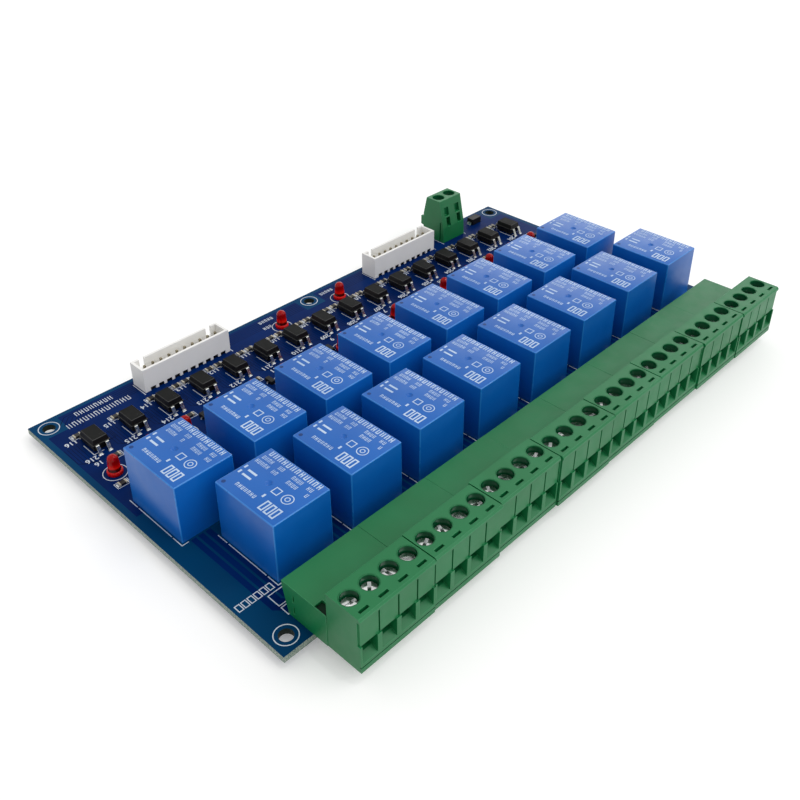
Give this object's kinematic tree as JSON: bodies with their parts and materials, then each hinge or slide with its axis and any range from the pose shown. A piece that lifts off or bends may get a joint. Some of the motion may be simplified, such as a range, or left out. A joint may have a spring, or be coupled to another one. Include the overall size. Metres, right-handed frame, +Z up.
{
  "type": "relay module board",
  "caption": "Rectangular circuit board with staggered rows of sealed relays, a bank of pluggable screw terminals, optocouplers, and pin and supply connectors.",
  "frame": {"origin": "centre of the corner mounting holes on the board's underside", "axes": "+X along the terminal bank, +Y from the terminal bank to the input connectors, +Z up out of the component side"},
  "size_m": [0.178, 0.1138, 0.019],
  "materials": {
    "board": "satin solder mask",
    "relay_blue": "satin moulded",
    "terminal_green": "satin moulded",
    "moulded_black": "matte moulded",
    "lamp_red": "gloss epoxy",
    "connector_white": "matte moulded",
    "screw_steel": "bright zinc plate",
    "plated_steel": "plated",
    "tinned_pins": "tinned",
    "chip_ceramic": "matte"
  },
  "bodies": {
    "root": {"chip_resistors": "chip_ceramic", "circuit_board": "board", "clamp_plates": "plated_steel", "connector_pins": "tinned_pins", "indicator_lamps": "lamp_red", "input_header_1": "connector_white", "input_header_2": "connector_white", "optocoupler_01": "moulded_black", "optocoupler_02": "moulded_black", "optocoupler_03": "moulded_black", "optocoupler_04": "moulded_black", "optocoupler_05": "moulded_black", "optocoupler_06": "moulded_black", "optocoupler_07": "moulded_black", "optocoupler_08": "moulded_black", "optocoupler_09": "moulded_black", "optocoupler_10": "moulded_black", "optocoupler_11": "moulded_black", "optocoupler_12": "moulded_black", "optocoupler_13": "moulded_black", "optocoupler_14": "moulded_black", "optocoupler_15": "moulded_black", "optocoupler_16": "moulded_black", "optocoupler_leads": "tinned_pins", "output_header_1": "terminal_green", "output_header_2": "terminal_green", "output_header_3": "terminal_green", "output_header_4": "terminal_green", "output_header_5": "terminal_green", "output_header_6": "terminal_green", "output_header_7": "terminal_green", "output_header_8": "terminal_green", "output_plug_1": "terminal_green", "output_plug_2": "terminal_green", "output_plug_3": "terminal_green", "output_plug_4": "terminal_green", "output_plug_5": "terminal_green", "output_plug_6": "terminal_green", "output_plug_7": "terminal_green", "output_plug_8": "terminal_green", "relay_01": "relay_blue", "relay_02": "relay_blue", "relay_03": "relay_blue", "relay_04": "relay_blue", "relay_05": "relay_blue", "relay_06": "relay_blue", "relay_07": "relay_blue", "relay_08": "relay_blue", "relay_09": "relay_blue", "relay_10": "relay_blue", "relay_11": "relay_blue", "relay_12": "relay_blue", "relay_13": "relay_blue", "relay_14": "relay_blue", "relay_15": "relay_blue", "relay_16": "relay_blue", "relay_pins": "tinned_pins", "small_semiconductors": "moulded_black", "supply_terminal": "terminal_green", "terminal_screws": "screw_steel"}
  },
  "joints": []
}
